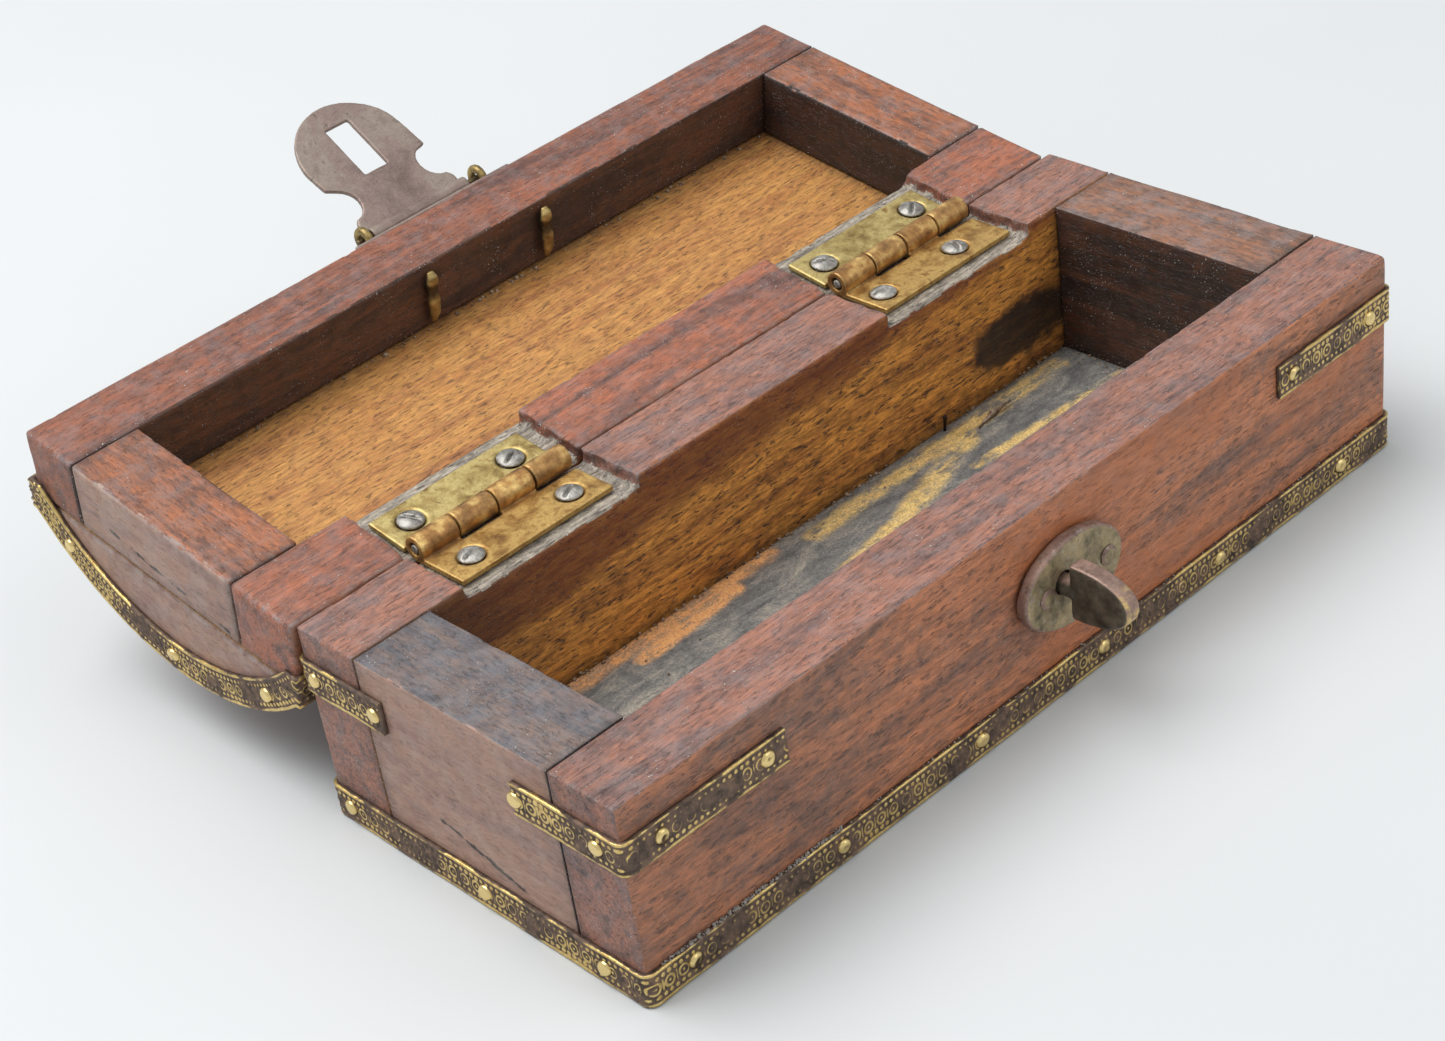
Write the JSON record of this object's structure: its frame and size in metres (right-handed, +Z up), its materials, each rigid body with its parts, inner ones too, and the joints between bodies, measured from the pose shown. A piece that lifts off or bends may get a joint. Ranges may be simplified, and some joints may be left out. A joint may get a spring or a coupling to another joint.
{
  "type": "wooden casket",
  "caption": "Small rosewood casket standing open: domed lid on two brass butt hinges, embossed brass strips, and a slotted hasp that closes over a turn-button.",
  "frame": {"origin": "centre of the base's underside", "axes": "+Z up; +X along the box's length; -Y out of the front, where the turn-button is; the open lid lies towards +Y"},
  "size_m": [0.1422, 0.1498, 0.0472],
  "materials": {
    "rosewood_base": "worn, waxed red-brown rosewood",
    "rosewood_lid": "worn, waxed red-brown rosewood with dusty arrises",
    "rosewood_dome": "golden brown inside, stained",
    "stained_floor": "dull, dark grey-brown with ochre streaks",
    "embossed_brass": "blackened in the hollows, rubbed bright on top",
    "hinge_brass": "tarnished yellow-olive",
    "patinated_brass": "dull brown patina",
    "screw_steel": "dull, slotted heads"
  },
  "bodies": {
    "base": {"base_back_wall": "rosewood_base", "base_corner_strip_back_left": "embossed_brass", "base_corner_strip_back_right": "embossed_brass", "base_corner_strip_front_left": "embossed_brass", "base_corner_strip_front_right": "embossed_brass", "base_floor": "stained_floor", "base_foot_strip_back": "embossed_brass", "base_foot_strip_front": "embossed_brass", "base_foot_strip_left": "embossed_brass", "base_foot_strip_right": "embossed_brass", "base_front_wall": "rosewood_base", "base_left_end": "rosewood_base", "base_right_end": "rosewood_base", "hinge_left_base_leaf": "hinge_brass", "hinge_left_base_screw_1": "screw_steel", "hinge_left_base_screw_2": "screw_steel", "hinge_left_pin": "screw_steel", "hinge_right_base_leaf": "hinge_brass", "hinge_right_base_screw_1": "screw_steel", "hinge_right_base_screw_2": "screw_steel", "hinge_right_pin": "screw_steel", "knob_plate": "patinated_brass", "knob_rivet_left": "patinated_brass", "knob_rivet_right": "patinated_brass", "knob_washer": "patinated_brass"},
    "lid": {"hasp_back_plate": "patinated_brass", "hasp_pin": "patinated_brass", "hasp_split_pin_left": "patinated_brass", "hasp_split_pin_right": "patinated_brass", "hinge_left_lid_leaf": "hinge_brass", "hinge_left_lid_screw_1": "screw_steel", "hinge_left_lid_screw_2": "screw_steel", "hinge_right_lid_leaf": "hinge_brass", "hinge_right_lid_screw_1": "screw_steel", "hinge_right_lid_screw_2": "screw_steel", "lid_back_wall": "rosewood_lid", "lid_dome": "rosewood_dome", "lid_front_wall": "rosewood_lid", "lid_left_end": "rosewood_lid", "lid_right_end": "rosewood_lid", "lid_strip_left": "embossed_brass", "lid_strip_right": "embossed_brass"},
    "hasp": {"hasp_plate": "patinated_brass"},
    "turn_button": {"turn_knob": "patinated_brass"}
  },
  "joints": [
    {"name": "lid_hinge", "type": "hinge", "parent": "base", "child": "lid", "pos_m": [0, 0.02875, 0.02935], "axis": [1, 0, 0], "range_deg": [0, 171.4]},
    {"name": "hasp_hinge", "type": "hinge", "parent": "lid", "child": "hasp", "pos_m": [0.0009, 0.08822, 0.03566], "axis": [1, 0, 0], "range_deg": [-109, 67.4]},
    {"name": "button_turn", "type": "hinge", "parent": "base", "child": "turn_button", "pos_m": [0.0013, -0.0286, 0.0181], "axis": [0, 1, 0], "range_deg": [-90, 90]}
  ]
}
